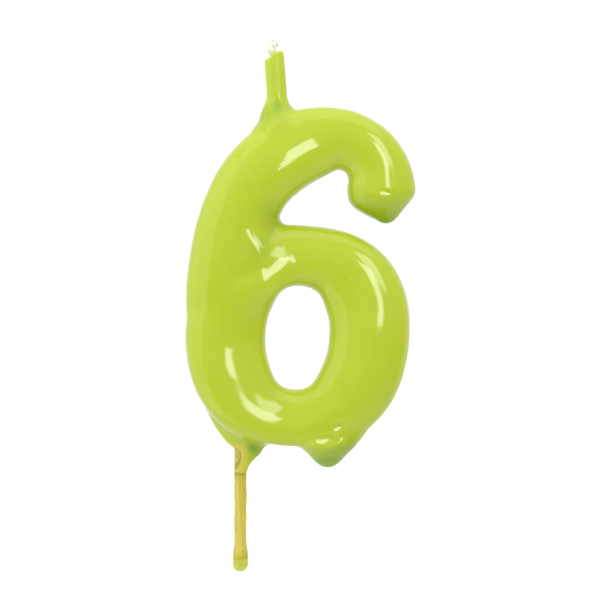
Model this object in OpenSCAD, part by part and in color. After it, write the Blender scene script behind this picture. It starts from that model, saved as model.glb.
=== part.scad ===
// Number birthday candle in the shape of a six: a moulded wax digit on a round wooden pick,
// with a plaited cotton wick, dipped whole in gloss lacquer that ran down and set in drips.
// Millimetres. +Z is up, +X is to the digit's right as it is read, +Y points away from the reader.
// The origin is on the pick's axis, where the straight pick leaves the lacquer under the digit.

/* [Digit] */
// Thickness of the digit from front to back, over the lacquer
digit_depth = 12.4; // [11.6:0.2:13.2]
// Fullness of the digit's section: 2 is an ellipse, and more has fuller edges
section_full = 3; // [2:0.25:4]
// Half width of the bowl's two sides
bowl_side = 7.6; // [7.2:0.1:7.8]
// Half width of the bowl's top and bottom
bowl_thin = 5.6; // [5:0.1:5.8]
// Half width of the bowl's centreline, side to side
bowl_reach = 13.5; // [13.2:0.1:14]
// Half height of the bowl's centreline
bowl_rise = 15.25; // [15:0.05:15.6]
// Lean of the bowl to the right, in degrees
bowl_lean = 4; // [0:1:6]
// How much wider the bowl is above its middle, each side
bowl_egg = 0.4; // [0:0.1:0.6]
// Squareness of the bowl's centreline: 2 is an ellipse
bowl_power = 2.25; // [2:0.05:2.6]

/* [Lacquer] */
// Thickness of the lacquer on the wax
coat_t = 0.6; // [0.5:0.05:0.7]
// Thickness of the lacquer film on the pick
film_t = 0.2; // [0.2:0.05:0.25]
// Diameter of the bead that set on the pick's lower end
bead_d = 3; // [2.8:0.1:3]
// Length of the bead
bead_l = 5; // [4:0.5:6]
// Lacquer below the pick's end, inside the bead
bead_under = 2.4; // [1:0.2:3]

/* [Pick] */
// Diameter of the wooden pick
pick_d = 2.1; // [2:0.1:2.1]
// Length of pick between the digit's meniscus and the bead
pick_free = 13; // [10:1:20]
// Length of pick above the origin, most of it inside the wax
pick_inside = 28; // [20:1:28]
// Length of the pick's tapered upper end
pick_taper = 5; // [3:1:8]

/* [Wick] */
// Thickness of one cotton strand
strand_d = 0.82; // [0.8:0.02:0.9]
// Side travel of a strand from the wick's middle
plait_side = 1.06; // [1:0.01:1.1]
// Front-to-back travel of a strand from the wick's middle
plait_depth = 0.6; // [0.58:0.01:0.64]
// Length of wick in which a strand crosses over and comes back
plait_pitch = 7; // [6:0.5:9]
// Thickness of the lacquer around the wick
sleeve_t = 0.5; // [0.35:0.05:0.5]

/* [Hidden] */

LIME = [0.76, 0.83, 0.25];
LIME_DEEP = [0.63, 0.77, 0.18];
WAX = [0.95, 0.94, 0.86];
COTTON = [0.95, 0.94, 0.90];
BIRCH = [0.87, 0.76, 0.53];

depth = digit_depth / 2;

// The wick's slot is a stadium: two half rounds with a flat between them.
slot_half = plait_side + strand_d / 2 + 0.02;
slot_round = plait_depth + strand_d / 2 + 0.09;
sleeve_half = slot_half + sleeve_t;
sleeve_deep = slot_round + sleeve_t;

// Middle of the bowl, as [x, z].
BOWL_AT = [10.7, 26.2];

// How much less deep than the digit the bowl is, and how far out its ridge lies, every 30 degrees
// from its right side, round over its top.
BOWL_SHALLOWER = [0.7, 1.1, 1.45, 1.4, 0.3, 0.1, 0.4, 0.05, 0.15, 0.7, 0.8, 0.6];
BOWL_RIDGE = [0.3, 0.8, 0.6, -1.5, -3, -0.8, 1.6, 2.2, 3.2, 2.4, 0.6, 0];

// The digit's rod, from its end inside the bowl's left side, up the stem and over to the hook.
// Each station is [x, z, half width, half depth, how far right of the middle its ridge lies].
STEM = [
    [-0.4, 19.0, 2.6, 2.4, 0],
    [-1.6, 24.0, 5.2, 4.4, 0],
    [-2.7, 29.0, 7.0, depth - 0.8, 0],
    [-3.0, 34.0, 7.3, depth - 0.2, 0],
    [-2.4, 40.0, 7.3, depth, 0],
    [-1.2, 46.0, 7.3, depth, 0],
    [0.9, 51.9, 7.2, depth, 0],
    [3.7, 56.3, 7.2, depth, 0.4],
    [8.0, 60.0, 7.2, depth - 0.3, 1],
    [13.3, 62.5, 6.8, depth - 1.2, 0.6],
    [18.8, 63.3, 5.8, depth - 1.5, -0.4],
    [23.3, 61.4, 5.6, depth - 1.4, -0.7],
    [25.6, 58.4, 5.9, depth - 1.3, -0.5]
];
// How the rod ends: the wax is plainly rounded, and the lacquer hangs below it in a drip.
HOOK_WAX = [
    [26.4, 55.6, 6.3, depth - 1.1, 0],
    [26.6, 53.4, 5.9, 4.9, 0],
    [26.6, 52.0, 4.2, 3.6, 0],
    [26.6, 51.5, 1.4, 1.2, 0]
];
HOOK_LACQUER = [
    [26.4, 55.6, 6.3, depth - 1.1, 0],
    [26.5, 53.9, 6.5, 5.2, 0],
    [26.7, 52.5, 6.4, 5.4, 0],
    [26.9, 51.2, 5.6, 4.9, 0],
    [27.1, 50.0, 4.2, 3.5, 0],
    [27.3, 48.6, 2.5, 2.2, 0],
    [27.3, 47.6, 1.3, 1.3, 0],
    [27.3, 47.2, 0.4, 0.4, 0]
];
// The web that fills the corner between the stem and the bowl.
WEB = [
    [-2.5, 33.0, 4.0, 4.6],
    [-0.4, 37.5, 6.4, depth - 0.3],
    [1.6, 41.0, 6.2, depth - 0.05],
    [3.3, 44.0, 4.4, depth - 0.6],
    [4.6, 46.4, 2.4, 4.0]
];

// The drip under the bowl, the meniscus on the pick and the collar up the wick, in the same form.
BASE_DRIP = [
    [16.4, 12.5, 9.6, 3.6],
    [16.4, 10.5, 9, 4],
    [16.4, 9, 7.9, 4.4],
    [16.4, 7.5, 6.8, 5],
    [16.4, 6, 5.6, 5.5],
    [16.4, 5, 4.8, 4.9],
    [16.4, 3.9, 3.6, 3.7],
    [16.4, 2.9, 2.7, 2.5],
    [16.4, 2, 1.6, 1.4],
    [16.4, 1.5, 0.5, 0.4]
];
PICK_MENISCUS = [
    [1, 13, 7.8, 3],
    [1, 11, 6.9, 3],
    [1, 9, 5.8, 2.8],
    [1.1, 7.5, 4.6, 2.4],
    [1.4, 6.3, 3.6, 2],
    [1.5, 5.3, 2.9, 1.7],
    [1.2, 4.5, 2.3, 1.5],
    [0.6, 3, 1.65, 1.4],
    [0.1, 1.5, 1.35, 1.3],
    [0, 0.6, 1.3, 1.3],
    [0, 0, pick_d / 2 + film_t, pick_d / 2 + film_t]
];
COLLAR = [
    [6.75, 73.4, sleeve_half, sleeve_deep],
    [6.85, 72.2, sleeve_half, sleeve_deep],
    [6.9, 70.9, 2.1, 1.7],
    [6.9, 69.6, 2.6, 2.2],
    [7.0, 68.2, 3.5, 3.1],
    [7.4, 66.6, 4.8, 4.1],
    [7.6, 64.4, 5.8, 5.0]
];

// The wick's middle line, as [x, z], from its cut tip to its end above the pick.
WICK = [
    [6.1, 82.2], [6.45, 77.5], [6.85, 72.2], [6.9, 67], [5.6, 61], [2.9, 55], [0.6, 49], [-0.9, 43], [-1.6, 37], [-1.6, 31.5]
];
COLLAR_TOP = 72.2; // height at which the collar ends and the sleeve begins
SLEEVE_TOP = 80; // height at which the lacquer stops on the wick's right side
SLEEVE_SLANT = 28; // slant of the lacquer's upper edge, in degrees
OVER = 30; // length of a cutting block
FIT = 0.02; // room left around what is cast or pushed into the wax

OUTER_SIDES = 20;
CORE_SIDES = 16;
STRAND_SIDES = 6;

// ---- Curves ----

// A point of the smooth curve through b and c, a share t of the way from b to c.
function on_curve(a, b, c, d, t) =
    0.5 * (2 * b + (c - a) * t + (2 * a - 5 * b + 4 * c - d) * t * t + (3 * b - a - 3 * c + d) * t * t * t);

// The stations with steps - 1 more between each pair, on a smooth curve.
function smoothed(s, steps) = [
    for (i = [0 : len(s) - 2], k = [0 : steps - 1])
        on_curve(s[max(i - 1, 0)], s[i], s[i + 1], s[min(i + 2, len(s) - 1)], k / steps),
    s[len(s) - 1]
];

function unit(v) = v / norm(v);
function signed_power(x, p) = sign(x) * pow(abs(x), p);

// Direction of travel at station i, as [x, z].
function heading(s, i) =
    let (a = s[max(i - 1, 0)], b = s[min(i + 1, len(s) - 1)]) unit([b[0] - a[0], b[1] - a[1]]);

// One ring of the section, square to heading h, with its front and back ridges moved to the right by ridge.
function ring(at, h, half, deep, sides, full, ridge = 0) = [
    for (j = [0 : sides - 1])
        let (
            angle = 360 * j / sides,
            u = half * cos(angle) + ridge * pow(sin(angle), 2),
            v = deep * signed_power(sin(angle), 2 / full)
        ) [at[0] + h[1] * u, v, at[1] - h[0] * u]
];

function rings(s, inset, sides, full = 2) = [
    for (i = [0 : len(s) - 1])
        ring([s[i][0], s[i][1]], heading(s, i), s[i][2] - inset, s[i][3] - inset, sides, full,
            len(s[i]) > 4 ? s[i][4] : 0)
];

// The bowl's centreline at an angle from its right side, leant over with the bowl.
function bowl_point(angle) =
    let (
        x = (bowl_reach + bowl_egg * sin(angle)) * signed_power(cos(angle), 2 / bowl_power),
        z = bowl_rise * signed_power(sin(angle), 2 / bowl_power)
    )
    [
        BOWL_AT[0] + x * cos(bowl_lean) + z * sin(bowl_lean),
        BOWL_AT[1] - x * sin(bowl_lean) + z * cos(bowl_lean)
    ];

function bowl_half(angle) =
    (bowl_side - (bowl_side - bowl_thin) * pow(abs(sin(angle)), 5)) * (1 + 0.03 * sin(angle));

// The smooth curve through values given every 30 degrees, at any angle.
function round_value(values, angle) =
    let (n = len(values), i = floor(angle / 30))
    on_curve(values[(i + n - 1) % n], values[i % n], values[(i + 1) % n], values[(i + 2) % n], angle / 30 - i);

// ---- Solids ----

// A solid through rings of equal length: end to end in a closed loop, or capped.
module skin(rings, loop = false) {
    n = len(rings[0]);
    m = len(rings);
    side = [
        for (i = [0 : m - (loop ? 1 : 2)], j = [0 : n - 1])
            let (a = i * n, b = (i + 1) % m * n, k = (j + 1) % n)
            each [[a + j, b + j, b + k], [a + j, b + k, a + k]]
    ];
    caps = loop ? [] : [[for (j = [0 : n - 1]) j], [for (j = [n - 1 : -1 : 0]) (m - 1) * n + j]];
    polyhedron([for (r = rings) each r], concat(side, caps), convexity = 10);
}

module bowl(inset, sides, count) {
    step = 360 / count;
    skin([
        for (i = [0 : count - 1])
            let (
                a = i * step,
                h = unit(bowl_point(a + 1) - bowl_point(a - 1)),
                deep = depth - round_value(BOWL_SHALLOWER, a)
            )
            ring(bowl_point(a), h, bowl_half(a) - inset, deep - inset, sides, section_full, round_value(BOWL_RIDGE, a))
    ], loop = true);
}

// The digit: the outside of the lacquer at inset 0, and the wax under it at inset coat_t.
module digit(inset, end, sides, steps, count) {
    bowl(inset, sides, count);
    skin(rings(smoothed(concat(STEM, end), steps), inset, sides, section_full));
    skin(rings(smoothed(WEB, steps), inset, sides, section_full));
}

module wax_shape() {
    digit(coat_t, HOOK_WAX, CORE_SIDES, 2, 36);
}

// The slot that the wick fills, as a chain of short hulls, 1 mm longer at each end.
module wick_slot() {
    line = smoothed(WICK, 2);
    for (i = [0 : len(line) - 2])
        hull() {
            wick_disc(line, i);
            wick_disc(line, i + 1);
        }
}

module wick_disc(line, i) {
    h = heading(line, i);
    at = line[i] + (i == 0 ? -h : i == len(line) - 1 ? h : [0, 0]);
    translate([at[0], 0, at[1]])
        rotate([0, atan2(h[0], h[1]), 0])
            for (side = [-1, 1])
                translate([side * (slot_half - slot_round), 0, 0])
                    cylinder(r = slot_round, h = 0.02, $fn = 18);
}

// ---- Sub-parts ----

module wax_core() {
    color(WAX)
        difference() {
            wax_shape();
            wick_slot();
            pick_bore();
        }
}

module pick_bore() {
    translate([0, 0, -1])
        cylinder(d = pick_d + 2 * FIT, h = pick_inside - pick_taper + 1, $fn = 32);
    translate([0, 0, pick_inside - pick_taper])
        cylinder(d1 = pick_d + 2 * FIT, d2 = 0.4 + 2 * FIT, h = pick_taper + FIT, $fn = 32);
}

module body_coat() {
    color(LIME)
        difference() {
            union() {
                digit(0, HOOK_LACQUER, OUTER_SIDES, 3, 48);
                skin(rings(smoothed(BASE_DRIP, 3), 0, OUTER_SIDES, section_full));
                skin(rings(smoothed(PICK_MENISCUS, 3), 0, OUTER_SIDES));
                skin(rings(smoothed(COLLAR, 3), 0, OUTER_SIDES));
            }
            wax_shape();
            wick_slot();
            pick_bore();
            block_above(COLLAR_TOP);
            block_above(-OVER);
        }
}

module block_above(height) {
    translate([-OVER / 2, -OVER / 2, height])
        cube(OVER);
}

// Lacquer on the wick above the collar, ending in a slanted edge.
module wick_sleeve() {
    top = [WICK[0][0], WICK[0][1]];
    color(LIME)
        difference() {
            skin(rings(smoothed([
                [top[0], top[1] - 1, sleeve_half - 0.1, sleeve_deep - 0.1],
                [WICK[1][0], WICK[1][1], sleeve_half, sleeve_deep],
                [WICK[2][0] + 0.05, WICK[2][1] - 1, sleeve_half, sleeve_deep]
            ], 5), 0, OUTER_SIDES));
            wick_slot();
            block_above(COLLAR_TOP - OVER);
            translate([top[0] + 2, 0, SLEEVE_TOP])
                rotate([0, -SLEEVE_SLANT, 0])
                    block_above(0);
        }
}

// One of the wick's three strands, a third of a plait behind the last.
module wick_strand(number) {
    line = smoothed(WICK, 7);
    travelled = distances(line);
    route = [
        for (i = [0 : len(line) - 1])
            let (h = heading(line, i), turn = 360 * travelled[i] / plait_pitch + 120 * number)
            [
                line[i][0] - h[1] * plait_side * sin(turn),
                plait_depth * sin(2 * turn),
                line[i][1] + h[0] * plait_side * sin(turn)
            ]
    ];
    color(COTTON)
        skin([for (i = [0 : len(route) - 1]) round_ring(route, i, strand_d / 2)]);
}

// Distance along a line of [x, z] points, from its start to each of them.
function distances(line, i = 0, so_far = 0) =
    i == len(line) ? [] : let (d = i == 0 ? 0 : so_far + norm(line[i] - line[i - 1])) concat([d], distances(line, i + 1, d));

// A ring of a round tube at point i of a route through space.
function round_ring(route, i, r) =
    let (
        along = unit(route[min(i + 1, len(route) - 1)] - route[max(i - 1, 0)]),
        side = unit(cross([0, 1, 0], along)),
        back = cross(along, side)
    )
    [for (j = [0 : STRAND_SIDES - 1]) route[i] + r * (cos(360 * j / STRAND_SIDES) * side + sin(360 * j / STRAND_SIDES) * back)];

module pick() {
    bottom = -pick_free - bead_l + bead_under;
    color(BIRCH) {
        translate([0, 0, bottom])
            cylinder(d = pick_d, h = pick_inside - pick_taper - bottom, $fn = 48);
        translate([0, 0, pick_inside - pick_taper])
            cylinder(d1 = pick_d, d2 = 0.4, h = pick_taper, $fn = 48);
    }
}

module pick_film() {
    color(LIME)
        translate([0, 0, -pick_free])
            difference() {
                cylinder(d = pick_d + 2 * film_t, h = pick_free, $fn = 64);
                translate([0, 0, -1])
                    cylinder(d = pick_d, h = pick_free + 2, $fn = 64);
            }
}

module end_bead() {
    color(LIME_DEEP)
        translate([0, 0, -pick_free - bead_l])
            difference() {
                rotate_extrude($fn = 64)
                    bead_outline();
                translate([0, 0, bead_under])
                    cylinder(d = pick_d, h = bead_l, $fn = 64);
            }
}

// Half of the bead's outline: round below, fullest at a third of its height, and drawn in above.
module bead_outline() {
    r = bead_d / 2;
    top = pick_d / 2 + film_t;
    polygon([
        [0, 0],
        for (a = [-80 : 10 : 0]) [r * cos(a), r + r * sin(a)],
        for (t = [0.2 : 0.2 : 1]) [r - (r - top) * (3 - 2 * t) * t * t, r + (bead_l - r) * t],
        [0, bead_l]
    ]);
}

wax_core();
body_coat();
wick_sleeve();
wick_strand(0);  // wick_strand_1
wick_strand(1);  // wick_strand_2
wick_strand(2);  // wick_strand_3
pick();
pick_film();
end_bead();
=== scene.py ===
"""The number candle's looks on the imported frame: lacquer, wax, wick and pick, the set and the camera."""

import math

import bpy
import numpy as np
import openvdb
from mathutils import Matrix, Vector


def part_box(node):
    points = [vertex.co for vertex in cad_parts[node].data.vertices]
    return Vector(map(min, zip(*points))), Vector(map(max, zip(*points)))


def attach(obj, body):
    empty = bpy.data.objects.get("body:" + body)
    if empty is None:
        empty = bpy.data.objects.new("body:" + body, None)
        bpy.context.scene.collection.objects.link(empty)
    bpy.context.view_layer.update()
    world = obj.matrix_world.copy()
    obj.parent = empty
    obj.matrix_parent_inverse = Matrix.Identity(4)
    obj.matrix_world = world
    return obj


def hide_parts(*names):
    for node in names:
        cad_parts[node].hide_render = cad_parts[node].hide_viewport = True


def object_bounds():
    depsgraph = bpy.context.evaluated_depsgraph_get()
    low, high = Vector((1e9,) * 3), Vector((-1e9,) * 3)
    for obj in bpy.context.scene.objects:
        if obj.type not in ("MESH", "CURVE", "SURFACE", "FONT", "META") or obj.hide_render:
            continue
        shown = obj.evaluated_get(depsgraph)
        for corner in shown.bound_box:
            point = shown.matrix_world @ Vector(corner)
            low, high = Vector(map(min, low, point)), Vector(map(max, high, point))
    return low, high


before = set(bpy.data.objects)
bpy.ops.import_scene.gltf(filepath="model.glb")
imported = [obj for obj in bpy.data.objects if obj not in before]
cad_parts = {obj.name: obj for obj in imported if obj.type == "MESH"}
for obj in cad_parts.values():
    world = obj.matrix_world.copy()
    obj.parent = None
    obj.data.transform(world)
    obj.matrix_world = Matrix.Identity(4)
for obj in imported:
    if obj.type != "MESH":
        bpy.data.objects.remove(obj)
cad_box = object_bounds()

MM = 0.001
VOXEL = 0.3  # mm, of the grids that the lacquer is poured in
COAT = 0.6  # mm, lacquer on the wax
PICK_R = 1.05  # mm, radius of the pick
DEEP = 6.2  # mm, half depth of the digit over the lacquer

# ---- The digit's stations in mm, as in the CAD ----
# x, z, half width, half depth, and how far to the right of the direction of travel the ridge lies

STEM = [
    [-0.4, 19.0, 2.6, 2.4, 0.0],
    [-1.6, 24.0, 5.2, 4.4, 0.0],
    [-2.7, 29.0, 7.0, DEEP - 0.8, 0.0],
    [-3.0, 34.0, 7.3, DEEP - 0.2, 0.0],
    [-2.4, 40.0, 7.3, DEEP, 0.0],
    [-1.2, 46.0, 7.3, DEEP, 0.0],
    [0.9, 51.9, 7.2, DEEP, 0.0],
    [3.7, 56.3, 7.2, DEEP, 0.4],
    [8.0, 60.0, 7.2, DEEP - 0.3, 1.0],
    [13.3, 62.5, 6.8, DEEP - 1.2, 0.6],
    [18.8, 63.3, 5.8, DEEP - 1.5, -0.4],
    [23.3, 61.4, 5.6, DEEP - 1.4, -0.7],
    [25.6, 58.4, 5.9, DEEP - 1.3, -0.5],
]
HOOK_WAX = [
    [26.4, 55.6, 6.3, DEEP - 1.1, 0.0],
    [26.6, 53.4, 5.9, 4.9, 0.0],
    [26.6, 52.0, 4.2, 3.6, 0.0],
    [26.6, 51.5, 1.4, 1.2, 0.0],
]
HOOK_LACQUER = [
    [26.4, 55.6, 6.3, DEEP - 1.1, 0.0],
    [26.5, 53.9, 6.5, 5.2, 0.0],
    [26.7, 52.5, 6.4, 5.4, 0.0],
    [26.9, 51.2, 5.6, 4.9, 0.0],
    [27.1, 50.0, 4.2, 3.5, 0.0],
    [27.3, 48.6, 2.5, 2.2, 0.0],
    [27.3, 47.6, 1.3, 1.3, 0.0],
    [27.3, 47.2, 0.4, 0.4, 0.0],
]
WEB = [
    [-2.5, 33.0, 4.0, 4.6],
    [-0.4, 37.5, 6.4, DEEP - 0.3],
    [1.6, 41.0, 6.2, DEEP - 0.05],
    [3.3, 44.0, 4.4, DEEP - 0.6],
    [4.6, 46.4, 2.4, 4.0],
]
BASE_DRIP = [
    [16.4, 12.5, 9.6, 3.6],
    [16.4, 10.5, 9.0, 4.0],
    [16.4, 9.0, 7.9, 4.4],
    [16.4, 7.5, 6.8, 5.0],
    [16.4, 6.0, 5.6, 5.5],
    [16.4, 5.0, 4.8, 4.9],
    [16.4, 3.9, 3.6, 3.7],
    [16.4, 2.9, 2.7, 2.5],
    [16.4, 2.0, 1.6, 1.4],
    [16.4, 1.5, 0.5, 0.4],
]
PICK_MENISCUS = [
    [1.0, 13.0, 7.8, 3.0],
    [1.0, 11.0, 6.9, 3.0],
    [1.0, 9.0, 5.8, 2.8],
    [1.1, 7.5, 4.6, 2.4],
    [1.4, 6.3, 3.6, 2.0],
    [1.5, 5.3, 2.9, 1.7],
    [1.2, 4.5, 2.3, 1.5],
    [0.6, 3.0, 1.65, 1.4],
    [0.1, 1.5, 1.35, 1.3],
    [0.0, 0.6, 1.3, 1.3],
    [0.0, 0.0, 1.25, 1.25],
]
COLLAR = [
    [6.12, 81.2, 1.85, 1.5],
    [6.45, 77.5, 1.97, 1.6],
    [6.85, 72.2, 1.98, 1.6],
    [6.9, 70.9, 2.1, 1.7],
    [6.9, 69.6, 2.6, 2.2],
    [7.0, 68.2, 3.5, 3.1],
    [7.4, 66.6, 4.8, 4.1],
    [7.6, 64.4, 5.8, 5.0],
]
WICK = [
    [6.1, 82.2], [6.45, 77.5], [6.85, 72.2], [6.9, 67.0], [5.6, 61.0],
    [2.9, 55.0], [0.6, 49.0], [-0.9, 43.0], [-1.6, 37.0], [-1.6, 31.5],
]
BOWL_AT = (10.7, 26.2)
BOWL_REACH = 13.5
BOWL_EGG = 0.4
BOWL_RISE = 15.25
BOWL_LEAN = math.radians(4)
BOWL_POWER = 2.25
BOWL_SIDE = 7.6
BOWL_THIN = 5.6
# how much less deep than the digit the bowl is, and how far out its ridge lies, every 30 degrees from its
# right side, round over the top
BOWL_SHALLOWER = [0.7, 1.1, 1.45, 1.4, 0.3, 0.1, 0.4, 0.05, 0.15, 0.7, 0.8, 0.6]
BOWL_RIDGE = [0.3, 0.8, 0.6, -1.5, -3.0, -0.8, 1.6, 2.2, 3.2, 2.4, 0.6, 0.0]
SECTION_FULL = 3.0  # fullness of the digit's section: 2 is an ellipse, and more has fuller edges

# mm, corners of the block of space that the grids fill
GRID_LOW = np.array([-13.0, -8.5, -2.5])
GRID_HIGH = np.array([35.5, 8.5, 84.0])


# ---- Sweeps, as in the CAD but fine ----


def catmull_rom(a, b, c, d, t):
    """The smooth curve through b and c, a share t of the way from b to c."""
    cubic = (3 * b - a - 3 * c + d) * t**3
    return 0.5 * (2 * b + (c - a) * t + (2 * a - 5 * b + 4 * c - d) * t * t + cubic)


def on_curve(stations, steps):
    """The stations with steps - 1 more between each pair, on a smooth curve."""
    s = np.asarray(stations, float)
    before = np.vstack([s[:1], s[:-2]])
    after = np.vstack([s[2:], s[-1:]])
    rows = []
    for a, b, c, d in zip(before, s[:-1], s[1:], after):
        rows += [catmull_rom(a, b, c, d, k / steps) for k in range(steps)]
    rows.append(s[-1])
    return np.array(rows)


THINNEST = 0.2  # mm, half width of a sweep at the least


def signed_power(x, p):
    return np.sign(x) * np.abs(x) ** p


def headings(at, loop=False):
    """Unit direction of travel at each [x, z] point."""
    if loop:
        h = np.roll(at, -1, 0) - np.roll(at, 1, 0)
    else:
        h = np.vstack([at[1:2] - at[:1], at[2:] - at[:-2], at[-1:] - at[-2:-1]])
    return h / np.linalg.norm(h, axis=1, keepdims=True)


def skin(at, half, deep, ridge, full, sides=128, loop=False):
    """Points, triangles and quads of an oval section swept along at, [x, z] rows in mm."""
    h = headings(at, loop)
    angle = np.linspace(0, 2 * np.pi, sides, endpoint=False)
    u = half[:, None] * np.cos(angle) + ridge[:, None] * np.sin(angle) ** 2
    v = signed_power(np.sin(angle), 2 / full)
    x = at[:, :1] + h[:, 1:] * u
    y = deep[:, None] * v
    z = at[:, 1:] - h[:, :1] * u
    points = np.stack([x, y, z], 2).reshape(-1, 3)
    rows = len(at)
    quads = []
    for i in range(rows if loop else rows - 1):
        a, b = i * sides, (i + 1) % rows * sides
        j = np.arange(sides)
        k = (j + 1) % sides
        quads.append(np.stack([a + j, a + k, b + k, b + j], 1))
    quads = np.concatenate(quads)
    triangles = np.zeros((0, 3), int)
    if not loop:
        first = len(points)
        last = first + 1
        points = np.vstack([points, points[:sides].mean(0), points[-sides:].mean(0)])
        j = np.arange(sides)
        k = (j + 1) % sides
        end = (rows - 1) * sides
        first_cap = np.stack([np.full(sides, first), k, j], 1)
        last_cap = np.stack([np.full(sides, last), end + j, end + k], 1)
        triangles = np.vstack([first_cap, last_cap])
    return points, triangles, quads


def station_skin(stations, full=2.0, inset=0.0):
    """The sweep through a table of stations, drawn in by inset mm."""
    s = on_curve(stations, 10)
    half = np.maximum(s[:, 2] - inset, THINNEST)
    deep = np.maximum(s[:, 3] - inset, THINNEST)
    ridge = s[:, 4] if s.shape[1] > 4 else np.zeros(len(s))
    return skin(s[:, :2], half, deep, ridge, full)


def round_values(values, angle):
    """A smooth curve through values given every 30 degrees, at any angle."""
    v = np.asarray(values)
    place = np.degrees(angle) / 30
    i = np.floor(place).astype(int)
    t = place - i
    a, b, c, d = (v[(i + k) % len(v)] for k in (-1, 0, 1, 2))
    return catmull_rom(a, b, c, d, t)


def bowl_skin(inset=0.0):
    """The closed loop of the six, drawn in by inset mm."""
    a = np.linspace(0, 2 * np.pi, 300, endpoint=False)
    s = np.sin(a)
    x = (BOWL_REACH + BOWL_EGG * s) * signed_power(np.cos(a), 2 / BOWL_POWER)
    z = BOWL_RISE * signed_power(s, 2 / BOWL_POWER)
    at = np.stack(
        [
            BOWL_AT[0] + x * math.cos(BOWL_LEAN) + z * math.sin(BOWL_LEAN),
            BOWL_AT[1] - x * math.sin(BOWL_LEAN) + z * math.cos(BOWL_LEAN),
        ],
        1,
    )
    half = (BOWL_SIDE - (BOWL_SIDE - BOWL_THIN) * np.abs(s) ** 5) * (1 + 0.03 * s)
    deep = DEEP - round_values(BOWL_SHALLOWER, a)
    ridge = round_values(BOWL_RIDGE, a)
    return skin(at, half - inset, deep - inset, ridge, SECTION_FULL, loop=True)


# ---- Distance grids ----

CELLS = np.ceil((GRID_HIGH - GRID_LOW) / VOXEL).astype(int)


def distances(mesh, reach):
    """Signed distance in mm to a closed mesh at the block's grid points, true out to reach mm."""
    points, triangles, quads = mesh
    grid = openvdb.FloatGrid.createLevelSetFromPolygons(
        np.ascontiguousarray((points - GRID_LOW), np.float32),
        triangles=np.ascontiguousarray(triangles, np.uint32),
        quads=np.ascontiguousarray(quads, np.uint32),
        transform=openvdb.createLinearTransform(VOXEL),
        halfWidth=reach / VOXEL,
    )
    out = np.empty(CELLS, np.float32)
    grid.copyToArray(out, (0, 0, 0))
    return out


def surface(field, level=0.0):
    """Points (mm) and quads where the field crosses level."""
    grid = openvdb.FloatGrid()
    grid.background = 5.0
    grid.gridClass = openvdb.GridClass.LEVEL_SET
    grid.transform = openvdb.createLinearTransform(VOXEL)
    grid.copyFromArray(np.ascontiguousarray(field, np.float32))
    points, quads = grid.convertToQuads(level)
    return np.asarray(points, float) + GRID_LOW, np.asarray(quads, int)


def softened(field, sigma):
    """Gaussian blur of a grid; sigma in mm."""
    s = sigma / VOXEL
    r = int(math.ceil(3 * s))
    w = np.exp(-0.5 * (np.arange(-r, r + 1) / s) ** 2)
    w /= w.sum()
    for axis in range(3):
        before = np.repeat(field.take([0], axis), r, axis)
        after = np.repeat(field.take([-1], axis), r, axis)
        padded = np.concatenate([before, field, after], axis)
        n = field.shape[axis]
        field = sum(w[k] * padded.take(range(k, k + n), axis) for k in range(2 * r + 1))
    return field


def filleted(field, radius):
    """The field with its inner corners filled to a radius, outer ones kept: grown, then shrunk."""
    points, quads = surface(field, radius)
    mesh = (points, np.zeros((0, 3), int), quads)
    grown = distances(mesh, radius + 6 * VOXEL)
    return grown + radius


def sample(field, points):
    """Trilinear values of a grid at points in mm."""
    g = (points - GRID_LOW) / VOXEL
    g = np.clip(g, 0, np.array(field.shape) - 1.001)
    i = g.astype(int)
    f = g - i
    out = np.zeros(len(points))
    for dx in (0, 1):
        for dy in (0, 1):
            for dz in (0, 1):
                w = (
                    (f[:, 0] if dx else 1 - f[:, 0])
                    * (f[:, 1] if dy else 1 - f[:, 1])
                    * (f[:, 2] if dz else 1 - f[:, 2])
                )
                out += w * field[i[:, 0] + dx, i[:, 1] + dy, i[:, 2] + dz]
    return out


def gradient(field, points):
    """Unit direction in which a grid rises at points in mm: outward, on a distance grid."""
    e = 0.5 * VOXEL
    g = np.stack([sample(field, points + d) - sample(field, points - d) for d in e * np.eye(3)], 1)
    return g / np.maximum(np.linalg.norm(g, axis=1, keepdims=True), 1e-9)


def settled(field, points, quads, rounds=3):
    """The points evened out and laid exactly on the field's surface."""
    n = len(points)
    for _ in range(rounds):
        total = np.zeros((n, 3))
        count = np.zeros(n)
        for k in range(4):
            a, b = quads[:, k], quads[:, (k + 1) % 4]
            np.add.at(total, a, points[b])
            np.add.at(count, a, 1)
        points = 0.5 * points + 0.5 * total / np.maximum(count, 1)[:, None]
        for _ in range(2):
            points = points - sample(field, points)[:, None] * gradient(field, points)
    return points


# ---- Mesh objects ----


def mesh_object(name, points_mm, faces, material):
    """A smooth-shaded piece of the candle from points in mm."""
    mesh = bpy.data.meshes.new(name)
    mesh.from_pydata((np.asarray(points_mm) * MM).tolist(), [], [list(map(int, f)) for f in faces])
    mesh.validate()
    mesh.update()
    mesh.polygons.foreach_set("use_smooth", [True] * len(mesh.polygons))
    obj = bpy.data.objects.new(name, mesh)
    bpy.context.scene.collection.objects.link(obj)
    mesh.materials.append(material)
    return obj


def point_values(obj, name, values):
    """One number at each point of a piece, for its material to read."""
    layer = obj.data.attributes.new(name, "FLOAT", "POINT")
    layer.data.foreach_set("value", np.asarray(values, np.float32))


# ---- Materials ----


def new_material(name):
    """A material, its node tree and its Principled shader."""
    mat = bpy.data.materials.new(name)
    mat.use_nodes = True
    nodes = mat.node_tree.nodes
    nodes.clear()
    out = nodes.new("ShaderNodeOutputMaterial")
    shader = nodes.new("ShaderNodeBsdfPrincipled")
    mat.node_tree.links.new(shader.outputs[0], out.inputs[0])
    return mat, mat.node_tree, shader


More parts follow.
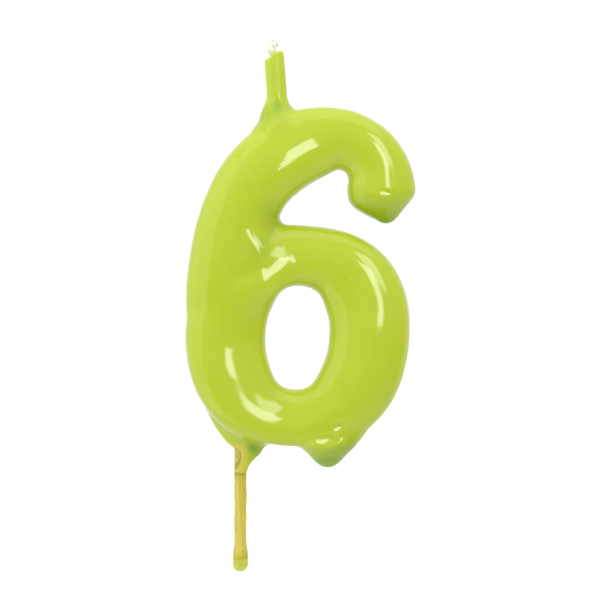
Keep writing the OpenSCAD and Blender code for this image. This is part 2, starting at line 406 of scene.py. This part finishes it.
def node(tree, kind, **settings):
    """A new node, with inputs or properties set by name."""
    n = tree.nodes.new(kind)
    for key, value in settings.items():
        if key in n.inputs:
            n.inputs[key].default_value = value
        else:
            setattr(n, key, value)
    return n


def grey(value):
    return (value, value, value)


def noise(tree, coords, scale, detail=3.0, roughness=0.5):
    n = node(tree, "ShaderNodeTexNoise", Scale=scale, Detail=detail, Roughness=roughness)
    tree.links.new(coords, n.inputs["Vector"])
    return n.outputs["Fac"]


def ramp(tree, fac, stops):
    """The colour of fac on a ramp of (position, colour) stops."""
    n = tree.nodes.new("ShaderNodeValToRGB")
    while len(n.color_ramp.elements) > 1:
        n.color_ramp.elements.remove(n.color_ramp.elements[-1])
    n.color_ramp.elements[0].position = stops[0][0]
    n.color_ramp.elements[0].color = (*stops[0][1], 1)
    for position, colour in stops[1:]:
        n.color_ramp.elements.new(position).color = (*colour, 1)
    tree.links.new(fac, n.inputs["Fac"])
    return n.outputs["Color"]


def mixed(tree, fac, a, b, mode="MIX"):
    """Two colours mixed by fac; each of the three is a socket or a value."""
    n = node(tree, "ShaderNodeMix", data_type="RGBA", blend_type=mode)
    for value, socket in ((fac, n.inputs[0]), (a, n.inputs[6]), (b, n.inputs[7])):
        if hasattr(value, "is_linked"):
            tree.links.new(value, socket)
        else:
            socket.default_value = value
    return n.outputs[2]


def bumped(tree, shader, height, distance, strength=1.0):
    """Fine relief on a shader, distance in metres."""
    b = node(tree, "ShaderNodeBump", Strength=strength, Distance=distance)
    tree.links.new(height, b.inputs["Height"])
    tree.links.new(b.outputs["Normal"], shader.inputs["Normal"])


def lacquer_material():
    """Gloss lime lacquer: greener where it's thick and on the notch's inner wall, which is painted shade,
    yellower over the pick and duller on the wick.
    """
    mat, tree, shader = new_material("lime lacquer")
    coords = tree.nodes.new("ShaderNodeTexCoord").outputs["Object"]
    # lacquer_depth on the coat: the lacquer's thickness, with painted shade on the notch's inner wall
    thick = node(tree, "ShaderNodeAttribute", attribute_name="lacquer_depth").outputs["Fac"]
    greener = [
        (0.0, (0.50, 0.59, 0.034)),
        (0.2, (0.45, 0.55, 0.028)),
        (0.6, (0.35, 0.47, 0.016)),
        (1.0, (0.27, 0.42, 0.010)),
    ]
    body = ramp(tree, thick, greener)
    cloud = noise(tree, coords, 90.0, 2.0)
    cloudy = mixed(tree, cloud, (0.94, 0.97, 0.85, 1), (1.0, 1.0, 1.0, 1))
    clouded = mixed(tree, 1.0, body, cloudy, "MULTIPLY")
    thin = node(tree, "ShaderNodeAttribute", attribute_name="over_wood").outputs["Fac"]
    tree.links.new(mixed(tree, thin, clouded, (0.62, 0.56, 0.09, 1)), shader.inputs["Base Color"])
    yarn = node(tree, "ShaderNodeAttribute", attribute_name="over_yarn").outputs["Fac"]
    dull = node(tree, "ShaderNodeMapRange", **{"To Min": 0.09, "To Max": 0.38})
    tree.links.new(yarn, dull.inputs["Value"])
    tree.links.new(dull.outputs["Result"], shader.inputs["Roughness"])
    shader.inputs["IOR"].default_value = 1.5
    shader.inputs["Subsurface Weight"].default_value = 0.8
    shader.inputs["Subsurface Radius"].default_value = (1.0, 1.0, 0.25)
    shader.inputs["Subsurface Scale"].default_value = 0.0012
    peel = noise(tree, coords, 420.0, 1.0)
    bumped(tree, shader, peel, 0.00002, 0.25)
    return mat


def wax_material():
    mat, tree, shader = new_material("candle wax")
    coords = tree.nodes.new("ShaderNodeTexCoord").outputs["Object"]
    mottling = noise(tree, coords, 260.0, 4.0)
    colour = ramp(tree, mottling, [(0.3, (0.85, 0.83, 0.70)), (0.7, (0.92, 0.91, 0.82))])
    tree.links.new(colour, shader.inputs["Base Color"])
    shader.inputs["Roughness"].default_value = 0.45
    shader.inputs["Subsurface Weight"].default_value = 0.6
    shader.inputs["Subsurface Scale"].default_value = 0.002
    bumped(tree, shader, noise(tree, coords, 700.0, 4.0), 0.00004)
    return mat


def long_streaks(tree, coords):
    """Fine noise drawn out along Z."""
    stretched = node(tree, "ShaderNodeMapping", Scale=(1.0, 1.0, 0.07))
    tree.links.new(coords, stretched.inputs["Vector"])
    return noise(tree, stretched.outputs["Vector"], 1500.0, 3.0)


def cotton_material():
    mat, tree, shader = new_material("cotton yarn")
    coords = tree.nodes.new("ShaderNodeTexCoord").outputs["Object"]
    fibres = long_streaks(tree, coords)
    colour = ramp(tree, fibres, [(0.3, (0.92, 0.91, 0.76)), (0.7, (0.98, 0.98, 0.87))])
    tree.links.new(colour, shader.inputs["Base Color"])
    shader.inputs["Roughness"].default_value = 0.9
    shader.inputs["Sheen Weight"].default_value = 0.3
    shader.inputs["Sheen Roughness"].default_value = 0.5
    bumped(tree, shader, fibres, 0.00003)
    return mat


def wood_material():
    mat, tree, shader = new_material("birch wood")
    coords = tree.nodes.new("ShaderNodeTexCoord").outputs["Object"]
    along = node(tree, "ShaderNodeMapping", Scale=(1.0, 1.0, 0.035))
    tree.links.new(coords, along.inputs["Vector"])
    grain = noise(tree, along.outputs["Vector"], 2600.0, 6.0, 0.65)
    pores = noise(tree, along.outputs["Vector"], 6000.0, 2.0)
    grains = [(0.28, (0.70, 0.52, 0.15)), (0.5, (0.93, 0.78, 0.27)), (0.75, (0.98, 0.88, 0.40))]
    colour = ramp(tree, grain, grains)
    flecks = ramp(tree, pores, [(0.62, grey(0)), (0.74, grey(1))])
    flecked = mixed(tree, flecks, colour, (0.58, 0.38, 0.12, 1))
    tree.links.new(flecked, shader.inputs["Base Color"])
    shader.inputs["Roughness"].default_value = 0.55
    bumped(tree, shader, grain, 0.00006)
    return mat


def film_material():
    mat, tree, shader = new_material("thin lacquer film")
    coords = tree.nodes.new("ShaderNodeTexCoord").outputs["Object"]
    streaks = ramp(tree, long_streaks(tree, coords), [(0.3, (0.96, 0.95, 0.27)), (0.7, (1.0, 0.99, 0.42))])
    thick = node(tree, "ShaderNodeAttribute", attribute_name="lacquer_depth").outputs["Fac"]
    tree.links.new(mixed(tree, thick, streaks, (0.76, 0.80, 0.10, 1)), shader.inputs["Base Color"])
    shader.inputs["Roughness"].default_value = 0.06
    shader.inputs["IOR"].default_value = 1.45
    shader.inputs["Transmission Weight"].default_value = 0.85
    bumped(tree, shader, noise(tree, coords, 700.0, 2.0), 0.00003)
    return mat


# ---- The coat of lacquer ----

REACH = 3.0  # mm from the surface, out to which the poured grids are true
UNDER_REACH = 5.0  # mm, the same for the grids of what lies under the lacquer
CLEAR = 0.035  # mm that the coat is drawn in
YARN_FROM = 70.5  # mm, height at which the wick begins to dull the lacquer on it
YARN_BLEND = 2.5  # mm of height over which that comes in
FILLET = 1.0  # mm, radius in the coat's inner corners
BLUR = 0.35  # mm, over which all its edges are rounded

# mm: middle (x, z), radius, and how far the lacquer levelled out there
LEVELLED = [
    (11.5, 60.6, 5.0, 1.3),  # where the stem turns over to the hook
    (7.5, 40.4, 3.8, 1.6),  # where the bowl leaves the stem
    (16.0, 8.0, 4.5, 0.6),  # over the drip under the bowl
    (26.8, 52.0, 4.5, 1.1),  # over the drip under the hook
    (6.9, 66.0, 3.5, 0.6),  # at the foot of the collar
    (0.0, 8.6, 4.8, 1.0),  # over the meniscus on the pick
]

# flat patches in the front of the coat: middle (x, z), half length and half width in mm; turn of the length,
# lean of the patch away from upright and the side it leans towards, in degrees from +X
FLATS = [
    (11.6, 61.6, 2.9, 1.15, 32, 8.0, 25),
    (7.0, 39.4, 2.9, 1.4, 31, 9.3, 35),
    (15.5, 6.7, 3.0, 1.0, 10, 10.6, 51),
    (18.2, 9.0, 1.3, 0.9, 45, 10.4, 51),
    (27.0, 53.0, 1.5, 0.8, 0, 7.2, 36),
]

# mm: the middle (x, z) of a thin run of lacquer down the bowl's right shoulder, its height and its width
THIN_RUN = [(16.7, 43.0), (17.7, 40.0), (20.7, 36.4), (22.8, 32.6)]
RUN_HIGH = 0.06
RUN_WIDE = 0.3

# mm: spots where the coat is drawn darker or paler, one of them painted shade: x, z, radius, how much
POOLS_THIN_SPOTS_AND_PAINTED_SHADE = [
    # darker at the foot of the collar
    (6.9, 69.6, 1.0, 0.6),
    # darker: lacquer pooled in a lens at the meniscus's right
    (2.3, 5.3, 0.9, 0.9),
    # painted shade: darker on the notch's inner wall, where shade falls
    (6.2, 49.3, 2.2, 0.4),
    # darker at the base drip's tip
    (16.4, 2.8, 1.8, 0.2),
    # paler: the lacquer ran thin on the meniscus's left
    (-4.0, 9.0, 3.6, -1.0),
    # paler over the lens above the base drip
    (15.5, 7.0, 3.2, -0.4),
]

# mm: the fork between stem and bowl: middle (x, z) and radius of the part that is filled out, its half depth,
# how far in from the outline it rounds down, and the blur and the rim of the fill
FORK_MIDDLE = (2.0, 43.3)
FORK_RADIUS = 4.8
FORK_DEEP = 6.1
FORK_SIDE = 7.0
FORK_BLUR = 0.7
FORK_RIM = 2.5

# mm: the sleeve's upper edge: its height at EDGE_X and right of it, its slope down to the left of that, and a
# step down to the left at STEP_X
EDGE_HIGH = 80.0
EDGE_X = 8.0
EDGE_SLOPE = 0.2
STEP_X = 5.7
STEP_HIGH = 1.0
STEP_SHARP = 8


def depth_from_gaps(flat, near, x, z):
    """How far each near cell of the silhouette is from the nearest open cell, in mm."""
    gaps_x, gaps_z = x[near & ~flat], z[near & ~flat]
    solid_x, solid_z = x[near & flat], z[near & flat]
    nearest = np.full(len(solid_x), np.inf)
    chunk = 400
    for start in range(0, len(gaps_x), chunk):
        part = slice(start, start + chunk)
        off = np.hypot(solid_x[:, None] - gaps_x[part], solid_z[:, None] - gaps_z[part])
        nearest = np.minimum(nearest, off.min(1))
    away = np.zeros(flat.shape)
    away[near & flat] = nearest
    return away


def fork_filled(field, x, y, z):
    """The field with the fork filled out, rounding down only towards its inner corner."""
    flat = (field < 0).any(1)
    flat_x, flat_z = np.broadcast_arrays(x[:, 0, :], z[:, 0, :])
    middle_off = np.hypot(flat_x - FORK_MIDDLE[0], flat_z - FORK_MIDDLE[1])
    near = middle_off < FORK_RADIUS + FORK_SIDE
    away = depth_from_gaps(flat, near, flat_x, flat_z)
    u = np.clip(1 - away / FORK_SIDE, 0, 1)
    full = FORK_DEEP * (1 - u * u) ** (1 / 3)
    # how deep the field is there already, and what is to be added to it
    y_line = y[0, :, 0]
    already = np.where(field < 0, np.abs(y_line)[None, :, None], 0).max(1)
    share = np.exp(-((middle_off / FORK_RADIUS) ** 4)) * np.clip(away / 2 - 0.3, 0, 1)
    height = softened((already + np.maximum(full - already, 0) * share)[:, None, :], FORK_BLUR)
    inner = middle_off[:, None, :] < FORK_RADIUS + FORK_RIM
    filled = np.minimum(field, np.abs(y) - height)
    keep = np.clip((away - 0.8) / 0.8, 0, 1)[:, None, :]
    return np.where(inner, field * (1 - keep) + filled * keep, field)


def flattened(points, normal):
    """The points with the flat patches pressed into the front, each at the surface's mean height there."""
    points = points.copy()
    front = normal[:, 1] < -0.3
    for at_x, at_z, long, wide, turn, lean, towards in FLATS:
        dx = points[:, 0] - at_x
        dz = points[:, 2] - at_z
        c = math.cos(math.radians(turn))
        s = math.sin(math.radians(turn))
        off = ((dx * c + dz * s) / long) ** 2 + ((dz * c - dx * s) / wide) ** 2
        share = np.exp(-(off**2)) * front
        slope = math.tan(math.radians(lean))
        a = math.radians(towards)
        plane = slope * (math.cos(a) * dx + math.sin(a) * dz)
        level = np.sum(share * (points[:, 1] - plane)) / np.sum(share)
        points[:, 1] += share * (level + plane - points[:, 1])
    return points


def poured_field(x, y, z):
    """Distances in mm to everything that the lacquer makes as one skin, with fillets between its parts."""
    parts = [
        bowl_skin(),
        station_skin(STEM + HOOK_LACQUER, SECTION_FULL),
        station_skin(WEB, SECTION_FULL),
        station_skin(BASE_DRIP, SECTION_FULL),
        station_skin(PICK_MENISCUS),
        station_skin(COLLAR),
    ]
    field = distances(parts[0], REACH)
    for part in parts[1:]:
        field = np.minimum(field, distances(part, REACH))
    field = fork_filled(field, x, y, z)
    field = filleted(field, FILLET)
    return softened(field, BLUR)


def levelled(field, x, z):
    """The field smoothed at the places where the lacquer levelled out."""
    for at_x, at_z, radius, spread in LEVELLED:
        # the last term makes up for how much the blur shrinks a rounded form
        near = np.exp(-(((x - at_x) ** 2 + (z - at_z) ** 2) / radius**2) ** 2)
        field = field * (1 - near) + (softened(field, spread) - 0.04 * spread**2) * near
    return field


def ends_cut(field, x, z):
    """The field with the sleeve's slanted upper edge, in two steps, and the flat end at the pick."""
    step = STEP_HIGH / (1 + np.exp((x - STEP_X) * STEP_SHARP))
    edge = z - (EDGE_HIGH - EDGE_SLOPE * np.maximum(EDGE_X - x, 0) - step)
    # the height over the slanted edge, scaled to about the true distance
    field = np.maximum(field, 0.8 * edge)
    return np.maximum(field, -z)


def under_lacquer(points):
    """How thick the lacquer looks at each point, with painted shade on the notch's inner wall added in, and
    how near the pick lies under it, both from 0 to 1.
    """
    wick = station_skin([[x, z, 1.45, 1.0] for x, z in WICK], 2.6)
    pick = station_skin([[0.0, z, PICK_R, PICK_R] for z in (-2.0, 4.0, 12.0, 20.0, 28.0)])
    under = [bowl_skin(COAT), station_skin(STEM + HOOK_WAX, SECTION_FULL, COAT), wick, pick]
    inside = [sample(distances(part, UNDER_REACH), points) for part in under]
    # from nothing at 0.5 mm of lacquer to full at 3.7 mm
    depth = (np.min(inside, 0) - 0.5) / 3.2
    # darker or paler spots, among them painted shade on the notch's inner wall
    for at_x, at_z, radius, more in POOLS_THIN_SPOTS_AND_PAINTED_SHADE:
        depth = depth + more * np.exp(-((points[:, 0] - at_x) ** 2 + (points[:, 2] - at_z) ** 2) / radius**2)
    # from full at 0.3 mm over the pick to nothing at 1.1 mm
    over_wood = np.clip((1.1 - inside[3]) / 0.8, 0, 1)
    return np.clip(depth, 0, 1), over_wood


def long_waves(points):
    """Long shallow waves in mm where the lacquer ran before it set, dying out at the pick and the wick."""
    x, y, z = points.T
    wave = 0.015 * np.sin(0.9 * x + 0.5 * z) * np.sin(0.35 * z + 0.7 * y + 1.3)
    return wave * (np.clip((z - 1.0) / 3, 0, 1) * np.clip((69 - z) / 3, 0, 1))


def thin_run(points):
    """Height in mm of the thin run of lacquer on the digit's front."""
    x, y, z = points.T
    line = on_curve(THIN_RUN, 12)
    off_line = np.min(np.hypot(x[:, None] - line[:, 0], z[:, None] - line[:, 1]), 1)
    return RUN_HIGH * np.exp(-((off_line / RUN_WIDE) ** 2)) * (y < 0)


def poured_lacquer():
    """The coat over the digit and the wick's sleeve: one skin, with its meniscuses and drips."""
    axes = [GRID_LOW[i] + VOXEL * np.arange(CELLS[i]) for i in range(3)]
    x, y, z = np.meshgrid(*axes, indexing="ij", sparse=True)
    field = ends_cut(levelled(poured_field(x, y, z), x, z), x, z)
    points, quads = surface(field)
    points = settled(field, points, quads)
    normal = gradient(field, points)
    depth, over_wood = under_lacquer(points)
    over_yarn = np.clip((points[:, 2] - YARN_FROM) / YARN_BLEND, 0, 1)
    # drawn in a little, so that the waves stay inside the CAD's box
    inward = (CLEAR + long_waves(points)) * np.clip((points[:, 2] - 1.0) / 2, 0, 1)
    run = thin_run(points)
    points = flattened(points - normal * inward[:, None], normal) + normal * run[:, None]
    obj = mesh_object("lacquer_coat", points, quads, lacquer_material())
    # the lacquer's thickness, with painted shade on the notch's inner wall added in
    point_values(obj, "lacquer_depth", depth)
    point_values(obj, "over_wood", over_wood)
    point_values(obj, "over_yarn", over_yarn)
    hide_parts("body_coat", "wick_sleeve")
    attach(obj, "root")


# ---- Wick ----


def ring_faces(rows, sides):
    """Faces between rows of rings of points, and a cap at each end."""
    faces = []
    for i in range(rows - 1):
        for j in range(sides):
            k = (j + 1) % sides
            faces.append((i * sides + j, i * sides + k, (i + 1) * sides + k, (i + 1) * sides + j))
    faces.append(tuple(range(sides))[::-1])
    faces.append(tuple((rows - 1) * sides + j for j in range(sides)))
    return faces


def sideways(route):
    """Two unit vectors square to a route at each of its points."""
    along = np.vstack([route[1:2] - route[:1], route[2:] - route[:-2], route[-1:] - route[-2:-1]])
    along /= np.linalg.norm(along, axis=1, keepdims=True)
    side = np.cross([0, 1, 0], along)
    side /= np.linalg.norm(side, axis=1, keepdims=True)
    return side, np.cross(along, side)


def tube(route, radius, sides):
    """Points and faces of a round tube along a route; radius is one number or one for each point."""
    route = np.asarray(route, float)
    radius = np.broadcast_to(radius, (len(route),))
    side, back = sideways(route)
    angle = np.linspace(0, 2 * np.pi, sides, endpoint=False)
    ring = np.cos(angle)[None, :, None] * side[:, None] + np.sin(angle)[None, :, None] * back[:, None]
    points = (route[:, None] + radius[:, None, None] * ring).reshape(-1, 3)
    return points, ring_faces(len(route), sides)


def joined(tubes):
    """Points and faces of several tubes as one mesh."""
    points = []
    faces = []
    count = 0
    for tube_points, tube_faces in tubes:
        faces += [tuple(i + count for i in face) for face in tube_faces]
        points.append(tube_points)
        count += len(tube_points)
    return np.vstack(points), faces


# mm, as in the CAD: side and front-to-back travel of a strand, and the length in which it crosses over and
# comes back
PLAIT_SIDE = 1.06
PLAIT_DEPTH = 0.6
PLAIT_PITCH = 7.0

PLIES = 7  # in one strand, one of them in its middle
PLY_R = 0.15  # mm
PLY_OUT = 0.25  # mm from the strand's middle to an outer ply's
PLY_TWIST = 2.4  # mm of wick in which a ply goes once round its strand
LOOSE = 3.0  # mm at the cut tip over which the plies come loose
FIBRES = 16  # fine loose ones at the tip of each strand
WICK_TOP = 82.4  # mm, height that nothing passes


def strand_middle(number):
    """The middle of one strand of the plait, in mm, and the length of wick travelled at each point."""
    line = on_curve(WICK, 24)
    travelled = np.concatenate([[0], np.cumsum(np.linalg.norm(np.diff(line, axis=0), axis=1))])
    h = headings(line)
    turn = 2 * np.pi * travelled / PLAIT_PITCH + 2 * np.pi / 3 * number
    x = line[:, 0] - h[:, 1] * PLAIT_SIDE * np.sin(turn)
    y = PLAIT_DEPTH * np.sin(2 * turn)
    z = line[:, 1] + h[:, 0] * PLAIT_SIDE * np.sin(turn)
    return np.stack([x, y, z], 1), travelled


def plies(rng, middle, travelled):
    """The twisted plies of a strand, loose, leaning apart and of uneven length at the cut tip."""
    side, back = sideways(middle)
    loose = np.clip(1 - travelled / LOOSE, 0, 1) ** 2
    tubes = []
    for ply in range(PLIES):
        out = 0.0 if ply == 0 else PLY_OUT
        phase = 2 * np.pi * ply / (PLIES - 1) + 2 * np.pi * travelled / PLY_TWIST
        offset = out * (1 + 0.5 * loose)
        route = middle + offset[:, None] * (np.cos(phase)[:, None] * side + np.sin(phase)[:, None] * back)
        lean = rng.normal(0, 0.16, 3) * [1, 1, 0]
        route = route + loose[:, None] * lean
        short = int(rng.integers(0, 7))
        tubes.append(tube(route[short:], PLY_R, 6))
    return tubes


def loose_fibres(rng, middle):
    """Fine fibres that stray from a strand's tip, thinner towards their ends."""
    tubes = []
    for _ in range(FIBRES):
        start = middle[int(rng.integers(14, 40))] + rng.normal(0, 0.2, 3)
        end = np.array([WICK[0][0] + rng.normal(0, 0.75), rng.normal(0, 0.55), rng.uniform(81.4, 82.35)])
        bend = 0.5 * (start + end) + rng.normal(0, 0.25, 3) * [1, 1, 0]
        t = np.linspace(0, 1, 9)[:, None]
        route = (1 - t) ** 2 * start + 2 * t * (1 - t) * bend + t * t * end
        tubes.append(tube(route, np.linspace(0.045, 0.02, 9), 5))
    return tubes


def strand(number, material):
    """One cotton strand of the plait."""
    rng = np.random.default_rng(40 + number)
    middle, travelled = strand_middle(number)
    points, faces = joined(plies(rng, middle, travelled) + loose_fibres(rng, middle))
    points[:, 2] = np.minimum(points[:, 2], WICK_TOP)
    obj = mesh_object(f"wick_yarn_{number + 1}", points, faces, material)
    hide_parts(f"wick_strand_{number + 1}")
    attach(obj, "root")


# ---- Wax, pick and the lacquer on it ----

PICK_TIP_R = 0.2  # mm, radius of the pick's upper end
PICK_TAPER = 5  # mm, length of its taper

# mm: the bead's lowest point, radius and length, and the film's radius and where it becomes even
BEAD_LOW = -18.0
BEAD_R = 1.5
BEAD_LONG = 5.0
FILM_R = 1.215
FILM_LOW = -12.8


def wax_digit():
    """The wax keeps its CAD shape."""
    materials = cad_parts["wax_core"].data.materials
    materials.clear()
    materials.append(wax_material())


def turned(outline, sides):
    """Points and faces of a closed solid turned about Z from an outline of (r, z) rows."""
    angle = np.linspace(0, 2 * np.pi, sides, endpoint=False)
    rings = [np.stack([r * np.cos(angle), r * np.sin(angle), np.full(sides, z)], 1) for r, z in outline]
    points = np.vstack(rings)
    return points, ring_faces(len(outline), sides)


def wooden_pick():
    """The round stick, with planed flats and a little waviness."""
    low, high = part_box("pick")
    bottom = low[2] / MM
    top = high[2] / MM
    straight = np.linspace(bottom, top - PICK_TAPER, 180)
    tapered = np.linspace(top - PICK_TAPER + 0.1, top, 20)
    outline = []
    for z in [*straight, *tapered]:
        taper = PICK_TIP_R + (PICK_R - PICK_TIP_R) * (top - z) / PICK_TAPER
        outline.append((PICK_R if z < top - PICK_TAPER else taper, z))
    points, faces = turned(outline, 48)
    angle = np.arctan2(points[:, 1], points[:, 0])
    r = np.hypot(points[:, 0], points[:, 1])
    # inward only, so that the stick stays inside its bore
    flats = 0.02 * (1 + np.sin(5 * angle + 0.15 * points[:, 2]))
    waves = 0.012 * (1 + np.sin(0.8 * points[:, 2] + 2 * angle))
    scale = np.where(r > 0.25, (r - flats - waves) / r, 1)
    points[:, :2] *= scale[:, None]
    obj = mesh_object("wood_pick", points, faces, wood_material())
    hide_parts("pick")
    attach(obj, "root")


def film_outline():
    """Rows of (r, z) in mm: the bead's round end and long neck, the uneven film, and its end in the coat."""
    round_end = BEAD_LOW + BEAD_R
    outline = [(0.02, BEAD_LOW)]
    for degrees in range(-84, 1, 6):
        a = math.radians(degrees)
        outline.append((BEAD_R * math.cos(a), round_end + BEAD_R * math.sin(a)))
    for t in np.linspace(0.06, 1, 20):
        outline.append((BEAD_R - 0.06 * t - 0.22 * t**6, round_end + (BEAD_LONG - BEAD_R) * t))
    for z in np.linspace(FILM_LOW, -0.2, 90):
        outline.append((FILM_R + 0.02 * math.sin(1.3 * z) + 0.012 * math.sin(3.1 * z + 1), z))
    return outline + [(1.21, 0.1), (1.19, 2.0), (1.17, 4.5), (1.12, 5.5)]


def lacquer_on_pick():
    """The film down the pick and the bead at its end, one skin of lacquer with the stick inside it."""
    points, faces = turned(film_outline(), 64)
    angle = np.arctan2(points[:, 1], points[:, 0])
    r = np.hypot(points[:, 0], points[:, 1])
    wobble = 1 - 0.012 * (1 + np.sin(angle + 0.5 * points[:, 2])) * np.clip(r, 0, 1)
    points[:, :2] *= wobble[:, None]
    obj = mesh_object("lacquer_on_pick", points, faces, film_material())
    # thickest in the bead, and a little thicker again next to the candle
    in_bead = np.clip((-13.2 - points[:, 2]) / 2.6, 0, 1)
    by_candle = 0.45 * np.clip((points[:, 2] + 4) / 4, 0, 1)
    point_values(obj, "lacquer_depth", np.maximum(in_bead, by_candle))
    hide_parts("pick_film", "end_bead")
    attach(obj, "root")


# ---- The set ----

CENTRE = (0.0113, 0.0, 0.0315)  # m, the point that the lights look at
LIGHT_DISTANCE = 0.5  # m

# name, degrees off the camera's line, the side it lies on in degrees from +X, width, height (m) and radiance
SOFTBOXES = [
    ("key", 18.5, 40, 0.07, 0.135, 7.5),
    ("window", 34, 48, 0.13, 0.19, 4.5),
    ("card", 66, 180, 0.62, 0.9, 0.88),
    ("overhead", 72, 90, 0.8, 0.4, 0.9),
]


def softbox(name, off_axis, azimuth, width, height, radiance):
    """An area light seen from the candle at off_axis degrees from the camera's line, towards azimuth."""
    light = bpy.data.lights.new(name, "AREA")
    light.shape = "RECTANGLE"
    light.size = width
    light.size_y = height
    light.energy = radiance * math.pi * width * height
    obj = bpy.data.objects.new(name, light)
    bpy.context.scene.collection.objects.link(obj)
    t = math.radians(off_axis)
    a = math.radians(azimuth)
    way = Vector((math.sin(t) * math.cos(a), -math.cos(t), math.sin(t) * math.sin(a)))
    obj.location = Vector(CENTRE) + LIGHT_DISTANCE * way
    obj.rotation_euler = (-way).to_track_quat("-Z", "Y").to_euler()


def lights():
    for box in SOFTBOXES:
        softbox(*box)


def white_world():
    """Even light from all round; gloss mirrors a white back and a dim front, and the camera sees white."""
    world = bpy.data.worlds.new("white set")
    bpy.context.scene.world = world
    world.use_nodes = True
    tree = world.node_tree
    tree.nodes.clear()
    out = tree.nodes.new("ShaderNodeOutputWorld")
    coords = tree.nodes.new("ShaderNodeTexCoord").outputs["Generated"]
    split = tree.nodes.new("ShaderNodeSeparateXYZ")
    tree.links.new(coords, split.inputs[0])
    depth = node(tree, "ShaderNodeMapRange", **{"From Min": -1.0, "From Max": 1.0})
    tree.links.new(split.outputs["Y"], depth.inputs["Value"])
    height = node(tree, "ShaderNodeMapRange", **{"From Min": -1.0, "From Max": 1.0})
    tree.links.new(split.outputs["Z"], height.inputs["Value"])
    behind = ramp(tree, depth.outputs["Result"], [(0.45, grey(0)), (0.57, grey(1))])
    bands = [(0.2, grey(0.9)), (0.4, grey(0.24)), (0.47, grey(0.24)), (0.54, grey(0.5)), (0.7, grey(0.65))]
    front = ramp(tree, height.outputs["Result"], bands)
    mirrored = mixed(tree, behind, front, (1, 1, 1, 1))
    around = ramp(tree, height.outputs["Result"], [(0.2, grey(1.0)), (0.5, grey(0.7)), (0.8, grey(0.85))])
    path = tree.nodes.new("ShaderNodeLightPath")
    soft = node(tree, "ShaderNodeMath", operation="MAXIMUM")
    tree.links.new(path.outputs["Is Diffuse Ray"], soft.inputs[0])
    tree.links.new(path.outputs["Is Transmission Ray"], soft.inputs[1])
    lighting = mixed(tree, soft.outputs[0], mirrored, around)
    back = tree.nodes.new("ShaderNodeBackground")
    tree.links.new(mixed(tree, path.outputs["Is Camera Ray"], lighting, (1, 1, 1, 1)), back.inputs["Color"])
    back.inputs["Strength"].default_value = 1.05
    tree.links.new(back.outputs[0], out.inputs[0])


FLOOR_HALF = 3.0  # m
FLOOR_GAP = 0.0005  # m under the candle's lowest point


def floor():
    """A white table just under the candle, blown out to white and throwing no light back up at it."""
    mesh = bpy.data.meshes.new("floor")
    s = FLOOR_HALF
    z = cad_box[0][2] - FLOOR_GAP
    mesh.from_pydata([(-s, -s, z), (s, -s, z), (s, s, z), (-s, s, z)], [], [(0, 1, 2, 3)])
    obj = bpy.data.objects.new("floor", mesh)
    bpy.context.scene.collection.objects.link(obj)
    obj.visible_diffuse = False
    obj.visible_glossy = False
    obj.visible_transmission = False
    mat, tree, shader = new_material("white table")
    shader.inputs["Base Color"].default_value = (0.93, 0.93, 0.93, 1)
    shader.inputs["Roughness"].default_value = 0.6
    shader.inputs["Emission Color"].default_value = (1, 1, 1, 1)
    shader.inputs["Emission Strength"].default_value = 0.8
    mesh.materials.append(mat)


SENSOR = 36  # mm
CAMERA_DISTANCE = 0.95  # m
VIEW_WIDE = 0.1128  # m, width of the picture at the candle
VIEW_X = 0.0112  # m, place of the picture's middle right of the pick
VIEW_Z = 0.0331  # m, its place above the pick's meniscus


def camera():
    """Level, and square to the candle's front."""
    data = bpy.data.cameras.new("camera")
    data.sensor_width = SENSOR
    data.lens = SENSOR * CAMERA_DISTANCE / VIEW_WIDE
    data.clip_start = 0.01
    obj = bpy.data.objects.new("camera", data)
    bpy.context.scene.collection.objects.link(obj)
    obj.location = (VIEW_X, -CAMERA_DISTANCE, VIEW_Z)
    obj.rotation_euler = (math.radians(90), 0, 0)
    bpy.context.scene.camera = obj


def colour_management():
    view = bpy.context.scene.view_settings
    view.view_transform = "Standard"
    view.look = "None"
    view.exposure = 0.0
    view.gamma = 1.0


def main():
    camera()
    colour_management()
    white_world()
    lights()
    floor()
    wax_digit()
    poured_lacquer()
    cotton = cotton_material()
    for number in range(3):
        strand(number, cotton)
    wooden_pick()
    lacquer_on_pick()


main()
